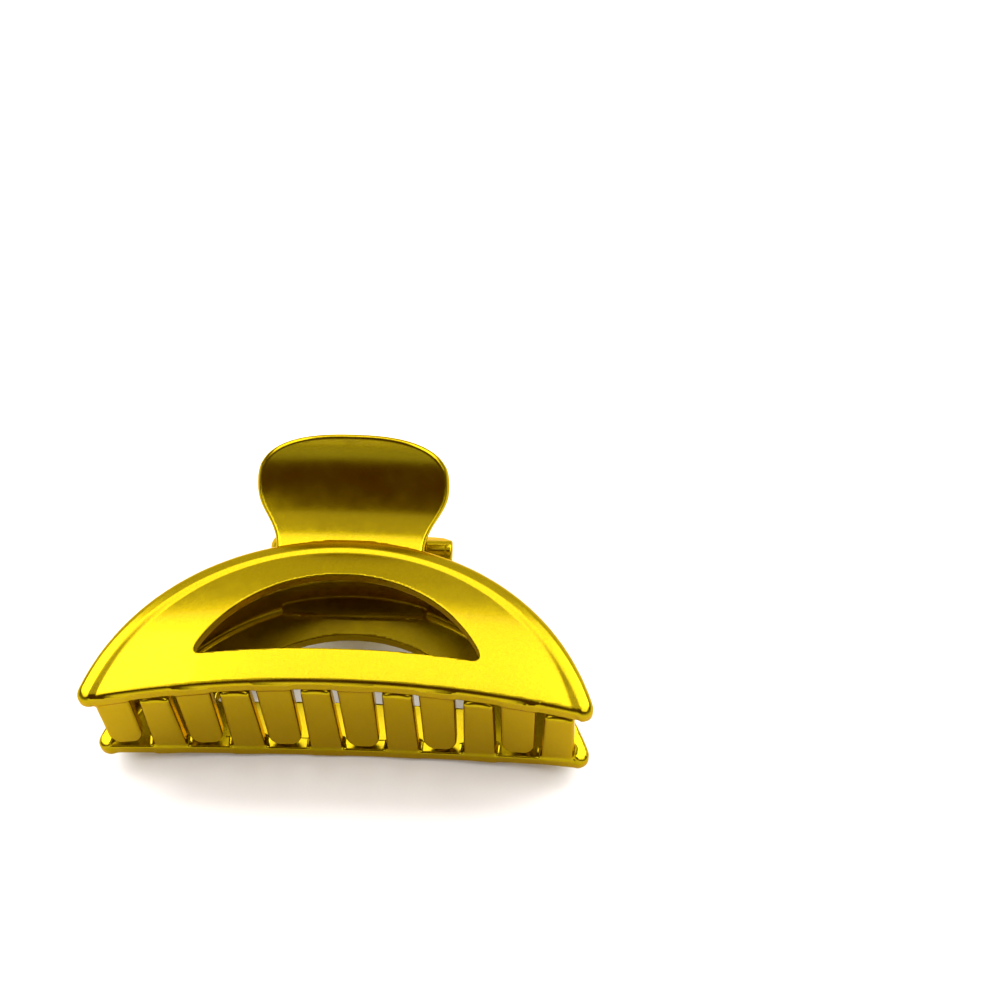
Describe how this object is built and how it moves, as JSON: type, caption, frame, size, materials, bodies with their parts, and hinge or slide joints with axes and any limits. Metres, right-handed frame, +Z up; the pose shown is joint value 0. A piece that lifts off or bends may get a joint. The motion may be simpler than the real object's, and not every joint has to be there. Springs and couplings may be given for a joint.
{
  "type": "claw hair clip",
  "caption": "Spring-closed half-moon claw clip for gathering hair: two toothed, windowed jaws with scooped finger handles turn on a steel pin.",
  "frame": {"origin": "middle of the bounding box's bottom face, as the closed clip lies on its side", "axes": "+X along the clip's length, +Y from the teeth back towards the handles, +Z up from the surface it lies on"},
  "size_m": [0.0872, 0.054, 0.0405],
  "materials": {
    "gold_plastic": "metallic gold lacquer, high gloss",
    "pin_steel": "drawn wire, satin",
    "spring_steel": "drawn spring wire, bright"
  },
  "bodies": {
    "lower_half": {"lower_jaw": "gold_plastic", "hinge_pin": "pin_steel", "torsion_spring": "spring_steel"},
    "upper_half": {"upper_jaw": "gold_plastic"}
  },
  "joints": [
    {"name": "jaw_hinge", "type": "hinge", "parent": "lower_half", "child": "upper_half", "pos_m": [0, 0.01178, 0.01901], "axis": [-1, 0, 0], "range_deg": [0, 85], "stiffness_Nm_per_rad": 0.12, "springref_deg": -34.38, "deforming": ["torsion_spring"]}
  ]
}
